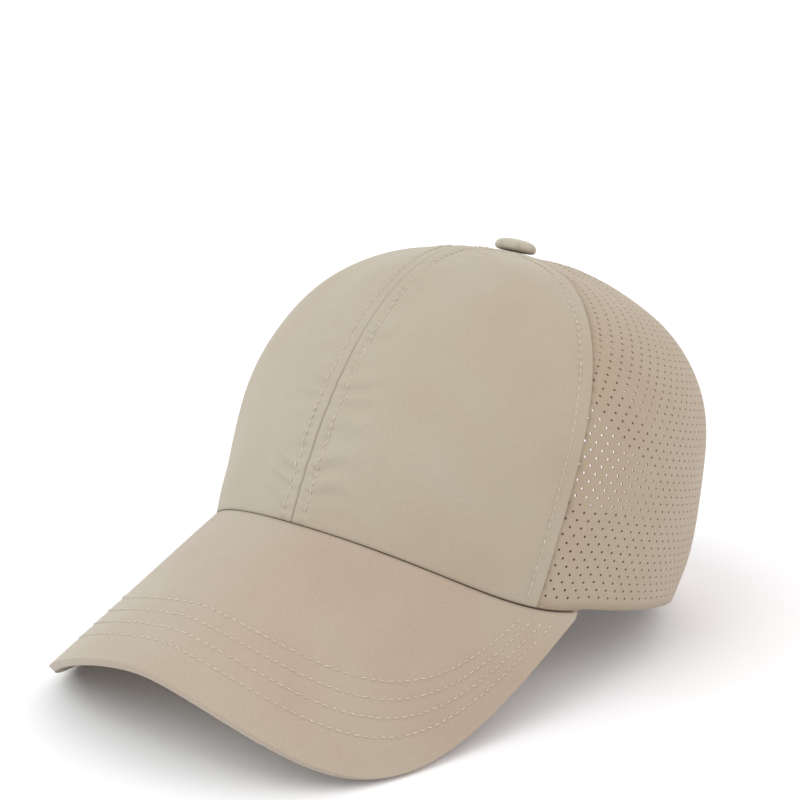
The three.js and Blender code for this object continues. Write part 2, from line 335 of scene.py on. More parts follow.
def scaleVector(tree, vector, factor):
    return addNode(tree, "ShaderNodeVectorMath", {0: vector, 3: factor}, operation="SCALE").outputs[0]


def mapRange(tree, value, low, high, toLow=0, toHigh=1):
    return addNode(tree, "ShaderNodeMapRange", {0: value, 1: low, 2: high, 3: toLow, 4: toHigh}).outputs[0]


def mixColours(tree, share, first, second):
    return addNode(tree, "ShaderNodeMix", {0: share, 6: first, 7: second}, data_type="RGBA").outputs[2]


def startGroup(name, inputs, outputs):
    group = bpy.data.node_groups.new(name, "ShaderNodeTree")
    for way, sockets in (("INPUT", inputs), ("OUTPUT", outputs)):
        for label, kind in sockets:
            group.interface.new_socket(label, in_out=way, socket_type="NodeSocket" + kind)
    start, end = group.nodes.new("NodeGroupInput"), group.nodes.new("NodeGroupOutput")
    return group, start.outputs, end.inputs


weaveForm = {"driftScale": 260, "driftDetail": 2, "lift": 0.35, "slub": 0.6, "wander": 1.6}

mottleForm = {
    "broad": (9, 2), "patch": (34, 3), "fine": (1400, 2), "patchShare": 0.3, "contrast": (0.36, 0.64),
    "fineRange": (0.3, 0.7), "roughness": (0.78, 0.92),
}


def makeWeaveGroup():  # plain weave whose threads wander a little
    form = weaveForm
    sockets = (("Place", "Vector"), ("Thread Size", "Float"), ("Wander", "Float"))
    group, given, result = startGroup("woven cloth", sockets, (("Height", "Float"),))
    drift = addNode(group, "ShaderNodeTexNoise", {
        "Vector": given["Place"], "Scale": form["driftScale"], "Detail": form["driftDetail"]})
    moved = scaleVector(group, drift.outputs["Color"], given["Wander"])
    place = addNode(group, "ShaderNodeVectorMath", {0: given["Place"], 1: moved}, operation="ADD")
    turns = addMath(group, "DIVIDE", math.pi, given["Thread Size"])
    parts = addNode(group, "ShaderNodeSeparateXYZ", {0: scaleVector(group, place.outputs[0], turns)})
    sines = [addMath(group, "SINE", parts.outputs[axis]) for axis in (0, 1)]
    over = addMath(group, "MULTIPLY", *sines)
    half = addMath(group, "MULTIPLY_ADD", over, form["lift"], form["lift"])
    height = addMath(group, "MULTIPLY_ADD", drift.outputs[0], form["slub"], half)
    group.links.new(height, result["Height"])
    return group


def makeMottleAndShadeGroup():  # broad soft patches, fine flecks, and painted shade that darkens seams, folds and the rim joint
    form = mottleForm
    sockets = (("Place", "Vector"), ("Cool", "Color"), ("Warm", "Color"), ("Seam", "Color"),
               ("Seam Shade", "Float"), ("Fleck", "Float"))
    group, given, result = startGroup("uneven colour and painted seam shade", sockets, (("Color", "Color"), ("Roughness", "Float")))
    broad, patch, fine = [addNode(group, "ShaderNodeTexNoise", {
        "Vector": given["Place"], "Scale": form[name][0], "Detail": form[name][1],
    }).outputs[0] for name in ("broad", "patch", "fine")]
    both = addNode(group, "ShaderNodeMix", {0: form["patchShare"], 2: broad, 3: patch}).outputs[0]
    cloth = mixColours(group, mapRange(group, both, *form["contrast"]), given["Cool"], given["Warm"])
    speck = mapRange(group, fine, *form["fineRange"], -1, 1)
    flecked = scaleVector(group, cloth, addMath(group, "MULTIPLY_ADD", speck, given["Fleck"], 1))
    # painted shade: the colour is drawn towards the Seam colour by the Seam Shade amount
    group.links.new(mixColours(group, given["Seam Shade"], flecked, given["Seam"]), result["Color"])
    rough = mapRange(group, patch, *form["fineRange"], *form["roughness"])
    group.links.new(rough, result["Roughness"])
    return group


weaveGroup, mottleAndShadeGroup = makeWeaveGroup(), makeMottleAndShadeGroup()

# each "seam" colour is the painted shade that seams, folds and the rim joint are darkened towards
clothColours = {
    "crown cloth": {
        "cool": (0.393, 0.353, 0.280), "warm": (0.376, 0.308, 0.236), "seam": (0.17, 0.13, 0.09)},
    # the crown cloth painted lighter for the button: painted light standing in for the light on its top
    "button cloth with painted light": {
        "cool": (0.445, 0.405, 0.335), "warm": (0.430, 0.380, 0.310), "seam": (0.20, 0.16, 0.11)},
    "perforated cloth": {
        "cool": (0.374, 0.311, 0.237), "warm": (0.356, 0.278, 0.199), "seam": (0.16, 0.12, 0.08)},
    "brim cloth": {
        "cool": (0.402, 0.350, 0.284), "warm": (0.382, 0.303, 0.235), "seam": (0.18, 0.14, 0.10)},
    "strap cloth": {
        "cool": (0.392, 0.318, 0.247), "warm": (0.372, 0.292, 0.218), "seam": (0.16, 0.12, 0.08)},
    "thread": {
        "cool": (0.550, 0.490, 0.405), "warm": (0.520, 0.450, 0.365), "seam": (0.25, 0.21, 0.15)},
}


def clothMaterial(name, threadSize=0.00032, relief=0.00004, fleck=0.035):
    colours = clothColours[name]
    material = bpy.data.materials.new(name)
    material.use_nodes = True
    tree = material.node_tree
    shader = tree.nodes["Principled BSDF"]
    shader.inputs["Sheen Weight"].default_value = 0.2
    shader.inputs["Sheen Roughness"].default_value = 0.5
    shader.inputs["Specular IOR Level"].default_value = 0.22
    place = addNode(tree, "ShaderNodeTexCoord")
    # the seamShade attribute brings in the painted shade of seams, folds and the rim joint
    shade = addNode(tree, "ShaderNodeAttribute", attribute_name="seamShade")
    weave = addNode(tree, "ShaderNodeGroup", node_tree=weaveGroup)
    tree.links.new(place.outputs["UV"], weave.inputs["Place"])
    weave.inputs["Thread Size"].default_value = threadSize
    weave.inputs["Wander"].default_value = threadSize * weaveForm["wander"]
    mottleAndShade = addNode(tree, "ShaderNodeGroup", node_tree=mottleAndShadeGroup)
    tree.links.new(place.outputs["Object"], mottleAndShade.inputs["Place"])
    tree.links.new(shade.outputs["Fac"], mottleAndShade.inputs["Seam Shade"])
    for key in ("Cool", "Warm", "Seam"):
        mottleAndShade.inputs[key].default_value = (*colours[key.lower()], 1)
    mottleAndShade.inputs["Fleck"].default_value = fleck
    bump = addNode(tree, "ShaderNodeBump", {
        "Strength": 1, "Distance": relief, "Height": weave.outputs["Height"]})
    tree.links.new(mottleAndShade.outputs["Color"], shader.inputs["Base Color"])
    tree.links.new(mottleAndShade.outputs["Roughness"], shader.inputs["Roughness"])
    tree.links.new(bump.outputs["Normal"], shader.inputs["Normal"])
    return material


crownCloth = clothMaterial("crown cloth")
# a lightened copy of the crown cloth: painted light on the button
paintedLightButtonCloth = clothMaterial("button cloth with painted light")
perforatedCloth = clothMaterial("perforated cloth")
brimCloth = clothMaterial("brim cloth")
strapCloth = clothMaterial("strap cloth")
thread = clothMaterial("thread", threadSize=0.00022, relief=0.00006, fleck=0.1)
print("materials ready")

stitchForm = {
    "pitch": 3.0, "length": 2.1, "width": 0.5, "height": 0.42, "segments": 8, "rings": 6,
    "early": 0.4, "rise": 0.12, "sway": 0.1, "change": 0.09, "seed": 41,
}


def pointAlong(run, points, at):
    return np.array([np.interp(at, run, points[:, axis]) for axis in range(3)])


def stitchRow(name, slot, rows):  # rows of stitches, each row a path of points with their outward ways
    form = stitchForm
    bpy.ops.object.select_all(action="DESELECT")
    bpy.ops.mesh.primitive_uv_sphere_add(segments=form["segments"], ring_count=form["rings"], radius=0.5)
    grain = bpy.context.object
    bpy.ops.object.mode_set(mode="EDIT")
    bpy.ops.mesh.select_all(action="SELECT")
    bpy.ops.transform.rotate(value=math.pi / 2, orient_axis="Y", center_override=(0, 0, 0))
    bpy.ops.transform.resize(value=(form["length"], form["width"], form["height"]), center_override=(0, 0, 0))
    bpy.ops.object.mode_set(mode="OBJECT")
    corners = np.array([vertex.co[:] for vertex in grain.data.vertices])
    grainFaces = [tuple(face.vertices) for face in grain.data.polygons]
    bpy.data.objects.remove(grain)
    dice = np.random.RandomState(form["seed"])
    places, faces, flats = [], [], []
    for path, outward in rows:
        run = np.concatenate([[0], np.cumsum(np.linalg.norm(np.diff(path, axis=0), axis=1))])
        count = int((run[-1] - form["length"]) / form["pitch"])
        for number in range(max(count, 0)):
            at = (number + 0.5) * form["pitch"] + form["length"] / 2 - form["early"]
            half = form["length"] / 2
            along = pointAlong(run, path, at + half) - pointAlong(run, path, at - half)
            along /= np.linalg.norm(along)
            up = pointAlong(run, outward, at)
            side = np.cross(up, along)
            along += side / np.linalg.norm(side) * dice.normal(0, form["sway"])
            along /= np.linalg.norm(along)
            side = np.cross(up, along)
            side /= np.linalg.norm(side)
            up = np.cross(along, side)
            start = len(places) * len(corners)
            own = corners * (1 + dice.normal(0, form["change"], 3))
            places.append(pointAlong(run, path, at) + own @ np.stack([along, side, up]))
            flats.append(corners[:, :2] + [at, 0])
            faces += [tuple(corner + start for corner in face) for face in grainFaces]
    mesh = bpy.data.meshes.new(name)
    mesh.from_pydata(toRest(np.concatenate(places)).tolist(), [], faces)
    piece = bpy.data.objects.new(name, mesh)
    bpy.context.scene.collection.objects.link(piece)
    writeCloth(piece, np.concatenate(flats), np.zeros(len(mesh.vertices)))
    selectOnly(piece)
    bpy.ops.object.shade_smooth()
    ready(piece, thread, slot)


frontForm = {
    "columns": 112, "rows": 300, "crowding": 0.62, "wall": 0.7, "edgeRound": 0.2,
    "seamDip": 0.3, "seamWidth": 0.4, "firmDrop": (0.45, 0.8), "upperFirm": 0.4,
    "stitchIn": 4.4, "stitchDip": 0.14, "dipWidth": 0.8, "foldIn": 5.0, "foldRise": 0.1, "foldEdge": (3.5, 6.5),
    "puckerLength": 3.1, "puckerDepth": 0.34, "puckerWidth": 1.8, "sidePucker": 0.6, "sidePuckerWidth": 1.4,
    "wrinkleDepth": 0.55, "wrinkleLength": 10, "wrinkleSlant": 0.35, "wrinkleIn": 9, "wrinkleWidth": 8,
    "wrinkleDrop": (0.45, 0.85), "upperWrinkle": 0.25, "dentDepth": 0.42, "dentSize": 50,
    "gatherDepth": 0.3, "gatherCount": 14, "gatherDown": 17, "gatherReach": 8, "seamSlit": 0.15,
}


def frontDepth(turn, drop):  # how deep the sewn cloth lies under the plain crown, and how much painted shade darkens its seams and rim
    form = frontForm
    side = np.abs(turn)
    perTurn = np.linalg.norm(crownSlopes(turn, drop)[0], axis=1)
    length, face = sectionLength(turn), crownFace(turn, drop)
    down, fromCentre = drop * length, side * perTurn
    fromSide, fromRim = (seamAt(drop) - side) * perTurn, (1 - drop) * length
    clear = smoothStep(down, *crownForm["topClear"])
    firm = form["upperFirm"] + (1 - form["upperFirm"]) * smoothStep(drop, *form["firmDrop"])
    seam = firm * bell(fromCentre, 0, form["seamWidth"]) * smoothStep(down, *crownForm["seamStart"])
    depth = form["seamDip"] * seam
    depth += form["stitchDip"] * clear * bell(fromCentre, form["stitchIn"], form["dipWidth"])
    depth += form["stitchDip"] * clear * bell(fromSide, form["foldIn"], form["dipWidth"])
    pucker = np.sin(2 * math.pi * down / form["puckerLength"] + 1.5 * softNoise(face, 15, 3))
    pucker *= form["puckerDepth"] * clear * (0.65 + 0.35 * softNoise(face, 12, 8))
    depth += pucker * bell(fromCentre, form["stitchIn"] * 0.85, form["puckerWidth"])
    depth += form["sidePucker"] * pucker * bell(fromSide, form["foldIn"], form["sidePuckerWidth"])
    slanted = down + form["wrinkleSlant"] * fromCentre
    wrinkle = np.sin(2 * math.pi * slanted / form["wrinkleLength"] + 2.5 * softNoise(face, 26, 5))
    wrinkle *= form["upperWrinkle"] + (1 - form["upperWrinkle"]) * smoothStep(drop, *form["wrinkleDrop"])
    wrinkle *= clear * bell(fromCentre, form["wrinkleIn"], form["wrinkleWidth"]) * smoothStep(fromRim, 3, 14)
    depth += form["wrinkleDepth"] * wrinkle
    depth -= form["foldRise"] * clear * (1 - smoothStep(fromSide, *form["foldEdge"]))
    gather = np.sin(np.radians(side) * form["gatherCount"] + 1) * smoothStep(fromCentre, 1, 4)
    depth += form["gatherDepth"] * gather * bell(down, form["gatherDown"], form["gatherReach"])
    inner = smoothStep(fromCentre, 4, 22) * smoothStep(fromSide, 4, 22)
    inner *= smoothStep(fromRim, 4, 20) * smoothStep(down, 8, 30)
    depth += form["dentDepth"] * softNoise(face, form["dentSize"], 11) * inner
    depth += crownForm["topSink"] * bell(down, crownForm["sinkDown"], crownForm["sinkReach"])
    # painted shade in the centre seam groove, beside the side seam fold and at the rim joint
    shade = 0.45 * firm * bell(fromCentre, 0, 0.35)
    shade += 0.3 * bell(fromSide, 0, 0.4) + 0.5 * bell(fromRim, 0, 0.5)
    return depth, np.clip(shade, 0, 1), turn * perTurn, down


def frontPanel(hand, name, node):
    form = frontForm
    piece, across, along = addGrid(name, form["columns"], form["rows"])
    share = across - form["crowding"] * np.sin(2 * math.pi * across) / (2 * math.pi)
    if hand < 0:
        share = 1 - share
    drop = topDrop + (1 - topDrop) * along
    start = form["seamSlit"] * seamEase(np.zeros_like(drop), drop)
    seam = seamAt(drop)
    end = seam - seamEase(seam, drop)
    turn = hand * (start + (end - start) * share)
    depth, shade, flat, down = frontDepth(turn, drop)
    setPlaces(piece, crownPoint(turn, drop, depth)[0])
    writeCloth(piece, np.stack([flat, down], -1), shade)
    thicken(piece, form["wall"], form["edgeRound"])
    ready(piece, crownCloth, "crown_cloth", node)


frontPanel(1, "left_front_panel", "front_panel_left")
frontPanel(-1, "right_front_panel", "front_panel_right")
print("front panels sewn")

sideForm = {
    "rowGap": 2.66, "holeGap": 4.5, "holeWidth": 0.94, "edgeKeep": 0.4, "rimKeep": 3.6, "topKeep": 8,
    "lineKeep": 0.35, "shortRow": 0.4, "fullRow": 0.9, "middleTurn": 120, "thinShare": 0.42, "under": 0.05,
    "tuck": 5, "tuckDepth": 0.85, "tuckStart": -1.6, "tuckEnd": 1.1, "seamDip": 0.5, "seamWidth": 0.6,
    "hemSteps": (4.0, 3.4, 2.9, 2.3, 1.5, 0.7, 0), "hemRise": 0.3, "hemIn": 2.6, "hemFade": 0.8,
    "stitchIn": 1.6, "stitchDip": 0.18, "dipWidth": 0.35, "stitchRise": 0.05,
    "seamSlit": 0.1, "slitDrop": 0.02, "splitDrop": 0.03, "sinkFade": (4, 26),
    "foldDepth": 0.55, "foldSpan": 23, "foldReach": 30, "foldWidth": 17, "dentDepth": 0.5, "dentSize": 44,
}


def sideEdges(drop):  # flat places of the side seam and of the rear edge, from the panel's middle line
    first, last = seamAt(drop), 180 - openingAt(drop)
    half = (first + last) / 2
    middle = crownFace(half, drop)
    scale = (np.linalg.norm(crownFace(first, drop) - middle, axis=1)
             + np.linalg.norm(crownFace(last, drop) - middle, axis=1)) / (last - first)
    start = (first - sideForm["middleTurn"]) * scale
    notch, slit = openingForm["drop"][0], sideForm["seamSlit"]
    apart = slit + (1 - slit) * smoothStep(drop, notch, notch + sideForm["slitDrop"])
    end = (last - apart * seamEase(last, drop) - sideForm["middleTurn"]) * scale
    return start, end, scale


def sideDepth(flat, drop):
    form = sideForm
    start, end, scale = sideEdges(drop)
    turn = form["middleTurn"] + flat / scale
    length, face = sectionLength(turn), crownFace(turn, drop)
    down, fromRim = drop * length, (1 - drop) * length
    fromSeam, fromEnd = flat - start, end - flat
    notch = openingForm["drop"][0]
    clear, split = smoothStep(down, *crownForm["topClear"]), smoothStep(drop, notch, notch + form["splitDrop"])
    depth = form["under"] + form["tuckDepth"] * (1 - smoothStep(fromSeam, form["tuckStart"], form["tuckEnd"]))
    depth -= form["hemRise"] * (1 - smoothStep(fromEnd, form["hemIn"] - 0.3, form["hemIn"] + 0.6)) * split
    depth += form["stitchDip"] * bell(fromEnd, form["stitchIn"], form["dipWidth"]) * split
    joined = (1 - split) * smoothStep(down, *crownForm["seamStart"])
    depth += form["seamDip"] * bell(fromEnd, 0, form["seamWidth"]) * joined
    fold = np.sin(2 * math.pi * turn / form["foldSpan"] + 1.2 * softNoise(face, 40, 19) + down / 16)
    fold *= smoothStep(fromSeam, 2, 12) * smoothStep(fromEnd, 1.5, 9) * clear
    depth += form["foldDepth"] * fold * bell(down, form["foldReach"], form["foldWidth"])
    inner = smoothStep(fromSeam, 3, 20) * smoothStep(fromEnd, 3, 20)
    inner *= smoothStep(fromRim, 3, 16) * smoothStep(down, 8, 30)
    depth += form["dentDepth"] * softNoise(face, form["dentSize"], 17) * inner
    sink = crownForm["topSink"] * bell(down, crownForm["sinkDown"], crownForm["sinkReach"])
    depth += sink * (1 - smoothStep(fromSeam, *form["sinkFade"]))
    # painted shadow beside the seam under the front panel's edge, and painted shade at the rim joint
    shade = 0.5 * bell(fromSeam, 0.1, 0.6) * clear + 0.4 * bell(fromRim, 0, 0.6)
    return turn, depth, np.clip(shade, 0, 1), length, fromEnd


def sidePanel(hand, name, node):  # a sheet whose round holes lie in staggered rows
    form = sideForm
    length = float(sectionLength(form["middleTurn"])[0])
    notch = openingForm["drop"][0]
    step = form["rowGap"] / length
    drops = np.arange(notch - step * int((notch - topDrop) / step), 1, step)
    drops = np.concatenate([[topDrop], drops[drops > topDrop + form["shortRow"] * step]])
    drops = np.concatenate([drops[drops < 1 - form["shortRow"] * step], [1.0]])
    middles = (drops[:-1] + drops[1:]) / 2
    half, reach = form["holeGap"] / 2, form["holeWidth"] / 2

    def limits(drop):
        start, end, _ = sideEdges(drop)
        return start - form["tuck"], end

    start, end = limits(drops)
    midStart, midEnd = limits(middles)
    inEnd, midInEnd = end - form["hemSteps"][0], midEnd - form["hemSteps"][0]
    places, faces, index = [], [], {}

    def point(key, across, drop):
        if key not in index:
            index[key] = len(places)
            places.append((across, drop))
        return index[key]

    for row in range(len(middles)):
        firsts = [math.ceil((start[level] + form["lineKeep"]) / half) for level in (row, row + 1)]
        lasts = [math.floor((inEnd[level] - form["lineKeep"]) / half) for level in (row, row + 1)]
        first, last = max(firsts), min(lasts)
        tall = drops[row + 1] - drops[row]
        holed = tall > form["fullRow"] * step and (1 - middles[row]) * length > form["rimKeep"]
        holed = holed and middles[row] * length > form["topKeep"]
        cells = [cell for cell in range(first + (first - row) % 2, last - 1, 2) if holed
                 and (cell + 1) * half - reach - midStart[row] > form["edgeKeep"]
                 and midInEnd[row] - (cell + 1) * half - reach > form["edgeKeep"]]
        sides = {place for cell in cells for place in (cell, cell + 2)}

        def line(number, place):
            return point(("line", number, place), place * half, drops[number])

        def side(place):
            return [point(("side", row, place), place * half, middles[row])] if place in sides else []

        for cell in cells:
            outer = [
                line(row, cell), line(row, cell + 1), line(row, cell + 2), *side(cell + 2),
                line(row + 1, cell + 2), line(row + 1, cell + 1), line(row + 1, cell), *side(cell),
            ]
            inner = []
            for angle in range(225, 585, 45):
                across = (cell + 1) * half + reach * math.cos(math.radians(angle))
                drop = middles[row] + reach * math.sin(math.radians(angle)) / length
                inner.append(point(("hole", row, cell, angle), across, drop))
            for corner in range(8):
                after = (corner + 1) % 8
                faces.append((outer[corner], inner[corner], inner[after], outer[after]))
        covered = {place for cell in cells for place in (cell, cell + 1)}
        for place in range(first, last):
            if place not in covered:
                faces.append((line(row, place), *side(place), line(row + 1, place), line(row + 1, place + 1),
                              *side(place + 1), line(row, place + 1)))
        faces.append((
            point(("start", row), start[row], drops[row]),
            point(("startMid", row), midStart[row], middles[row]),
            point(("start", row + 1), start[row + 1], drops[row + 1]),
            *[line(row + 1, place) for place in range(firsts[1], first + 1)],
            *side(first), *[line(row, place) for place in range(first, firsts[0] - 1, -1)],
        ))

        def hemPoints(number):  # down one column of the hem
            inward = form["hemSteps"][number]
            return [point(("hem", number, row), end[row] - inward, drops[row]),
                    point(("hemMid", number, row), midEnd[row] - inward, middles[row]),
                    point(("hem", number, row + 1), end[row + 1] - inward, drops[row + 1])]

        faces.append((
            *reversed(hemPoints(0)), *[line(row, place) for place in range(lasts[0], last - 1, -1)],
            *side(last), *[line(row + 1, place) for place in range(last, lasts[1] + 1)],
        ))
        for number in range(len(form["hemSteps"]) - 1):
            near, far = hemPoints(number), hemPoints(number + 1)
            faces += [(near[0], near[1], far[1], far[0]), (near[1], near[2], far[2], far[1])]

    flat, drop = np.array(places).T
    turn, depth, shade, lengths, fromEnd = sideDepth(flat, drop)
    points = crownPoint(hand * turn, drop, depth)[0]
    if hand < 0:
        faces = [tuple(reversed(corners)) for corners in faces]
    mesh = bpy.data.meshes.new(name)
    mesh.from_pydata(toRest(points).tolist(), [], faces)
    piece = bpy.data.objects.new(name, mesh)
    bpy.context.scene.collection.objects.link(piece)
    writeCloth(piece, np.stack([flat, drop * lengths], -1), shade)
    hem = piece.vertex_groups.new(name="hem")
    thick = 1 - smoothStep(fromEnd, form["hemIn"], form["hemIn"] + form["hemFade"])
    for number in np.nonzero(thick > 0.01)[0]:
        hem.add([int(number)], float(thick[number]), "REPLACE")
    thicken(piece, crownForm["wall"], thinShare=form["thinShare"])
    ready(piece, perforatedCloth, "perforated_cloth", node)


sidePanel(1, "left_side_panel", "side_panel_left")
sidePanel(-1, "right_side_panel", "side_panel_right")
print("side panels sewn")

bandForm = {
    "columns": 260, "rows": 16, "height": 27, "below": 2.8, "above": 0.8, "fade": 3, "wall": 0.9,
    "edgeRound": 0.3, "depth": 1.75, "seamDepth": 3.4, "seamReach": (6, 13), "endTurn": 144, "perDegree": 1.5,
}


def sweatBand():  # a folded band inside the rim, which also closes the joint with the brim
    form = bandForm
    piece, across, along = addGrid("sweat_band", form["columns"], form["rows"])
    turn = form["endTurn"] * (2 * across - 1)
    length = sectionLength(turn)
    side = np.abs(turn)
    front = 1 - smoothStep(side, brimForm["endTurn"] - form["fade"], brimForm["endTurn"] + form["fade"])
    low = 1 + front * form["below"] / length - (1 - front) * form["above"] / length
    drop = low - form["height"] / length * (1 - along)
    past = np.maximum(drop - 1, 0) * length
    drop = np.minimum(drop, 1)
    fromSeam = np.abs(side - seamAt(drop)) * np.linalg.norm(crownSlopes(turn, drop)[0], axis=1)
    depth = form["depth"] + (form["seamDepth"] - form["depth"]) * (1 - smoothStep(fromSeam, *form["seamReach"]))
    points, _ = crownPoint(turn, drop, depth)
    points[:, 2] -= past
    setPlaces(piece, points)
    writeCloth(piece, np.stack([turn * form["perDegree"], drop * length], -1), np.zeros(len(turn)))
    thicken(piece, form["wall"], form["edgeRound"])
    ready(piece, strapCloth, "strap_cloth")


sweatBand()
print("sweat band sewn")


def brimDepth(swing, run):
    form = brimForm
    place, _ = brimPoint(swing, run, 0)
    outer, _ = brimPoint(swing, np.ones_like(swing), 0)
    inner, _ = brimPoint(swing, np.zeros_like(swing), 0)
    fromEdge, fromRim = np.linalg.norm(outer - place, axis=1), np.linalg.norm(place - inner, axis=1)
    depth = form["dentDepth"] * softNoise(place, form["dentSize"], 23) * smoothStep(fromEdge, 0, 6)
    for row in form["stitchRows"]:
        depth += form["stitchGroove"] * bell(fromEdge, row, form["grooveWidth"]) * smoothStep(fromRim, 0, 3)
    return depth, fromEdge, fromRim, place


def makeBrim():
    form = brimForm
    piece, across, along = addGrid("sewn_brim", form["columns"], form["rows"])
    swing = -form["tip"] + 2 * form["tip"] * across
    depth, fromEdge, fromRim, place = brimDepth(swing, along)
    setPlaces(piece, brimPoint(swing, along, depth)[0])
    # painted shadow where the brim runs in under the crown's edge
    shade = form["seamShade"] * bell(fromRim, 0, form["seamWidth"])
    writeCloth(piece, np.stack([place[:, 0], fromEdge], -1), shade)
    thicken(piece, form["wall"], form["edgeRound"])
    ready(piece, brimCloth, "brim_cloth", "brim")


makeBrim()
print("brim sewn")


def strapCentre(hand, place):
    share = strapForm["share"][0] + (strapForm["share"][-1] - strapForm["share"][0]) * place
    turn = 180 + hand * openingForm["halfTurn"] * share
    return turn, readCurve(strapForm["share"], strapForm["drop"], share)


def strapPlace(hand, place, aside):  # turn and drop at a distance to one side of the strap's middle line
    turn, drop = strapCentre(hand, place)
    aheadTurn, aheadDrop = strapCentre(hand, place + nudge)
    behindTurn, behindDrop = strapCentre(hand, place - nudge)
    alongTurn, alongDrop = crownSlopes(turn, drop)
    perTurn, perDrop = np.linalg.norm(alongTurn, axis=1), np.linalg.norm(alongDrop, axis=1)
    way = np.stack([hand * (aheadTurn - behindTurn) * perTurn, hand * (aheadDrop - behindDrop) * perDrop], -1)
    way /= np.linalg.norm(way, axis=1)[:, None]
    return turn - way[:, 1] * aside / perTurn, drop + way[:, 0] * aside / perDrop


def strapSink(place, extraDepth):  # a crossing strap hangs free between its sewn ends
    form = strapForm
    near, far = (smoothStep(end, form["sagStart"], form["sagFull"]) for end in (place, 1 - place))
    return strapDepth + (form["slack"] + extraDepth) * near * far


def strapDip(fromEdge):
    return strapForm["stitchDip"] * bell(fromEdge, strapForm["stitchIn"], strapForm["dipWidth"])


def crossStrap(hand, extraDepth, name, node):
    form = strapForm
    piece, across, along = addGrid(name, form["columns"], form["rows"])
    place = across if hand > 0 else 1 - across
    aside = (along - 0.5) * form["width"]
    turn, drop = strapPlace(hand, place, aside)
    fromEdge = form["width"] / 2 - np.abs(aside)
    depth = strapSink(place, extraDepth) + strapDip(fromEdge)
    dent = softNoise(crownFace(turn, drop), form["dentSize"], 31)
    depth += form["dentDepth"] * dent * smoothStep(fromEdge, 0, 3)
    setPlaces(piece, crownPoint(turn, drop, depth)[0])
    writeCloth(piece, np.stack([place * form["flatLength"], aside], -1), np.zeros(len(place)))
    thicken(piece, form["wall"], form["edgeRound"])
    ready(piece, strapCloth, "strap_cloth", node)


crossStrap(1, 0, "outer_crossing_strap", "cross_strap_outer")
crossStrap(-1, strapForm["wall"] + strapForm["layerGap"], "inner_crossing_strap", "cross_strap_inner")


def makeBackStrap():
    form = backStrapForm
    piece, across, along = addGrid("sewn_back_strap", form["columns"], form["rows"])
    halfTurn = float(openingAt(np.array([1.0]))[0]) + form["tuck"]
    turn = 180 - halfTurn + 2 * halfTurn * across
    length = sectionLength(turn)
    drop = 1 - form["height"] / length * (1 - along)
    fromEdge = np.minimum(along, 1 - along) * form["height"]
    points = crownPoint(turn, drop, strapDepth + strapDip(fromEdge))[0]
    floor = foot[2] - (foot[1] - points[:, 1]) * floorSlope
    points[:, 2] = np.maximum(points[:, 2], floor)
    setPlaces(piece, points)
    writeCloth(piece, np.stack([turn * form["perDegree"], drop * length], -1), np.zeros(len(turn)))
    thicken(piece, strapForm["wall"], strapForm["edgeRound"])
    ready(piece, strapCloth, "strap_cloth", "back_strap")


makeBackStrap()
print("straps sewn")

buttonForm = {
    "radius": 7.9, "height": 4.6, "gap": 0.3, "segments": 64, "rings": 40,
    "folds": 7, "foldDepth": 0.04, "foldSharp": 0.3,
    "step": (0, 0.1, 0.2, 0.3, 0.4, 0.5, 0.58, 0.66, 0.8, 0.9, 1),
    "out": (0, 0.32, 0.6, 0.82, 0.95, 1, 0.97, 0.86, 0.23, 0.23, 0),
    "up": (1, 0.98, 0.93, 0.8, 0.6, 0.34, 0.13, 0, 0, -0.5, -0.5),
}


def makeButton():
    form = buttonForm
    bpy.ops.object.select_all(action="DESELECT")
    bpy.ops.mesh.primitive_uv_sphere_add(segments=form["segments"], ring_count=form["rings"], radius=1)
    piece = bpy.context.object
    piece.name = piece.data.name = "covered_button"
    ball = np.empty(len(piece.data.vertices) * 3)
    piece.data.vertices.foreach_get("co", ball)
    ball = ball.reshape(-1, 3)
    step = np.arccos(np.clip(ball[:, 2], -1, 1)) / math.pi
    around = np.arctan2(ball[:, 1], ball[:, 0])
    out = np.interp(step, form["step"], form["out"]) * form["radius"]
    up = np.interp(step, form["step"], form["up"]) * form["height"]
    fold = np.abs(np.sin(around * form["folds"] / 2)) ** form["foldSharp"]
    out -= form["foldDepth"] * (1 - fold) * bell(step, 0.5, 0.13)
    points = np.stack([out * np.cos(around), crownForm["topBack"] + out * np.sin(around),
                       crownForm["height"] + form["gap"] + up], -1)
    setPlaces(piece, points)
    # painted shade in the folds round the button's edge
    shade = 0.5 * (1 - fold) * bell(step, 0.5, 0.15)
    writeCloth(piece, points[:, :2], shade)
    selectOnly(piece)
    bpy.ops.object.shade_smooth()
    ready(piece, paintedLightButtonCloth, "crown_cloth", "button")


makeButton()
print("button ready")


def crownThreads():
    drops = np.linspace(0.06, 0.996, 260)
    rows = []
    for hand in (1, -1):
        edgeScale = np.linalg.norm(crownSlopes(np.full_like(drops, 3.0), drops)[0], axis=1)
        seamScale = np.linalg.norm(crownSlopes(seamAt(drops) - 4, drops)[0], axis=1)
        for turn in (frontForm["stitchIn"] / edgeScale, seamAt(drops) - frontForm["foldIn"] / seamScale):
            depth = frontDepth(hand * turn, drops)[0]
            rows.append(crownPoint(hand * turn, drops, depth - stitchForm["rise"]))
    stitchRow("crown_stitches", "crown_cloth", rows)


def brimThreads():
    rows = []
    swing = np.linspace(-brimForm["tip"], brimForm["tip"], 500)
    outer, _ = brimPoint(swing, np.ones_like(swing), 0)
    inner, _ = brimPoint(swing, np.zeros_like(swing), 0)
    wide = np.linalg.norm(outer - inner, axis=1)
    for row in brimForm["stitchRows"]:
        keep = wide > row + brimForm["rowEnd"]
        run = (1 - row / wide)[keep]
        depth = brimDepth(swing[keep], run)[0] - stitchForm["rise"]
        rows.append(brimPoint(swing[keep], run, depth))
    stitchRow("brim_stitches", "brim_cloth", rows)


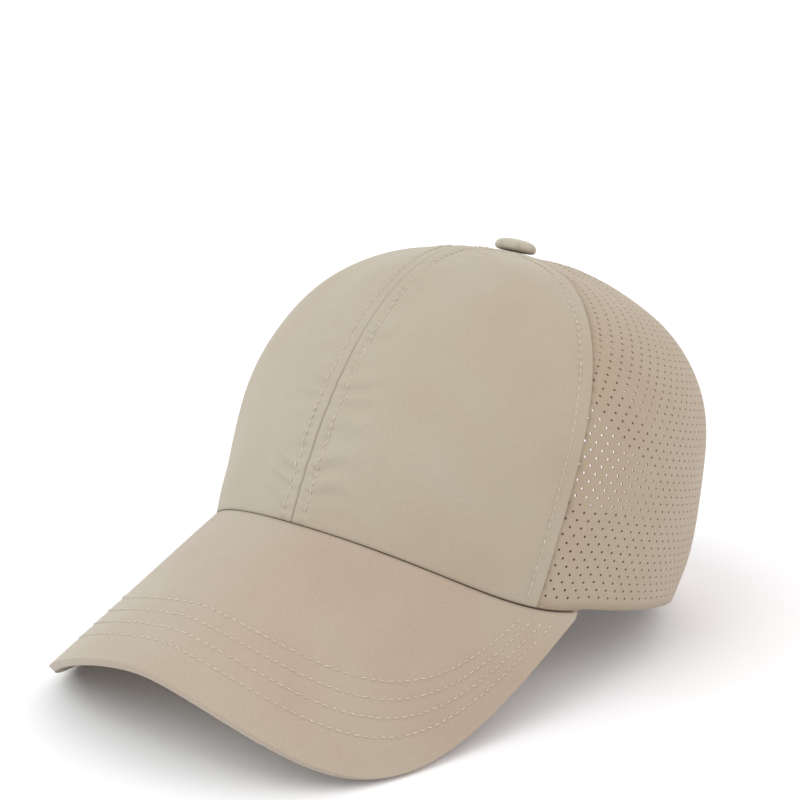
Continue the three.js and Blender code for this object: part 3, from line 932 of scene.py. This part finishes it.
def strapThreads():
    rows = []
    place = np.linspace(0.02, 0.98, 160)
    for hand, extraDepth in ((1, 0), (-1, strapForm["wall"] + strapForm["layerGap"])):
        for side in (-1, 1):
            aside = side * (strapForm["width"] / 2 - strapForm["stitchIn"])
            turn, drop = strapPlace(hand, place, np.full_like(place, aside))
            rows.append(crownPoint(turn, drop, strapSink(place, extraDepth) + strapForm["stitchSink"]))
    stitchRow("strap_stitches", "strap_cloth", rows)


def openingThreads():
    rows = []
    drops = np.linspace(openingForm["drop"][0] + 0.02, 0.985, 260)
    for hand in (1, -1):
        turn, depth, _, _, _ = sideDepth(sideEdges(drops)[1] - sideForm["stitchIn"], drops)
        rows.append(crownPoint(hand * turn, drops, depth - sideForm["stitchRise"]))
    stitchRow("opening_stitches", "perforated_cloth", rows)


crownThreads()
brimThreads()
strapThreads()
openingThreads()
print("threads sewn")

floorForm = {"size": 60, "colour": (0.90, 0.90, 0.93)}


def makeFloor():
    bpy.ops.object.select_all(action="DESELECT")
    bpy.ops.mesh.primitive_plane_add(size=floorForm["size"])
    floor = bpy.context.object
    floor.name = "floor"
    material = bpy.data.materials.new("floor")
    material.use_nodes = True
    shader = material.node_tree.nodes["Principled BSDF"]
    shader.inputs["Base Color"].default_value = (*floorForm["colour"], 1)
    shader.inputs["Roughness"].default_value = 0.9
    shader.inputs["Specular IOR Level"].default_value = 0.1
    floor.data.materials.append(material)


makeFloor()

# soft light from all round, a little cool from the camera's left and a little warm from its right
lightForm = {
    "turn": 34.7, "cool": (0.965, 1.0, 1.0), "warm": (1.0, 0.955, 0.935), "blend": 0.8,
    "strength": 1.08, "sunWidth": 50,
    "suns": (
        {"name": "key light", "from": (-0.62, 0.35, 0.70), "energy": 0.95, "colour": (0.96, 1.0, 0.94)},
        {"name": "fill light", "from": (0.80, 0.25, 0.55), "energy": 0.35, "colour": (1.0, 0.90, 0.80)},
    ),
}


def makeLights():
    form = lightForm
    turn = math.radians(form["turn"])
    right = (math.cos(turn), math.sin(turn), 0)
    towards = (math.sin(turn), -math.cos(turn), 0)
    world = bpy.data.worlds.new("studio")
    bpy.context.scene.world = world
    world.use_nodes = True
    tree = world.node_tree
    place = addNode(tree, "ShaderNodeTexCoord")
    side = addNode(tree, "ShaderNodeVectorMath", {0: place.outputs["Generated"], 1: right},
                   operation="DOT_PRODUCT")
    share = mapRange(tree, side.outputs["Value"], -form["blend"], form["blend"])
    colour = mixColours(tree, share, (*form["cool"], 1), (*form["warm"], 1))
    tree.links.new(colour, tree.nodes["Background"].inputs["Color"])
    tree.nodes["Background"].inputs["Strength"].default_value = form["strength"]
    for sun in form["suns"]:
        across, near, up = sun["from"]
        way = Vector([across * right[axis] + near * towards[axis] for axis in range(2)] + [up])
        bpy.ops.object.light_add(type="SUN", rotation=way.to_track_quat("Z", "Y").to_euler())
        light = bpy.context.object
        light.name = sun["name"]
        light.data.energy, light.data.color = sun["energy"], sun["colour"]
        light.data.angle = math.radians(form["sunWidth"])
    bpy.context.scene.view_settings.view_transform = "Standard"


makeLights()

# the camera is placed round the cap as it was worn level on the head, and then tipped with it
cameraForm = {
    "azimuth": 34.742, "elevation": 19.809, "distance": 649.576, "targetHeight": 50, "pitch": 20.308,
    "lens": 79.713, "shiftX": -0.0582, "shiftY": 0.0409,
}


def makeCamera():
    form = cameraForm
    azimuth, elevation = math.radians(form["azimuth"]), math.radians(form["elevation"])
    back = np.array([math.sin(azimuth) * math.cos(elevation), -math.cos(azimuth) * math.cos(elevation),
                     math.sin(elevation)])
    right = np.array([math.cos(azimuth), math.sin(azimuth), 0])
    up = np.cross(back, right)
    place = np.array([0, 0, form["targetHeight"]]) + form["distance"] * back
    lean = tilt - math.radians(form["pitch"])
    tip = np.array([[1, 0, 0], [0, math.cos(lean), math.sin(lean)], [0, -math.sin(lean), math.cos(lean)]])
    bpy.ops.object.camera_add()
    camera = bpy.context.object
    matrix = np.eye(4)
    matrix[:3, 0], matrix[:3, 1], matrix[:3, 2] = tip @ right, tip @ up, tip @ back
    matrix[:3, 3] = tip @ place * mm + shift
    camera.matrix_world = matrix.T.tolist()
    camera.data.lens, camera.data.shift_x, camera.data.shift_y = form["lens"], form["shiftX"], form["shiftY"]
    camera.data.clip_start, camera.data.clip_end = 0.01, 100
    bpy.context.scene.camera = camera


makeCamera()
print("camera placed")
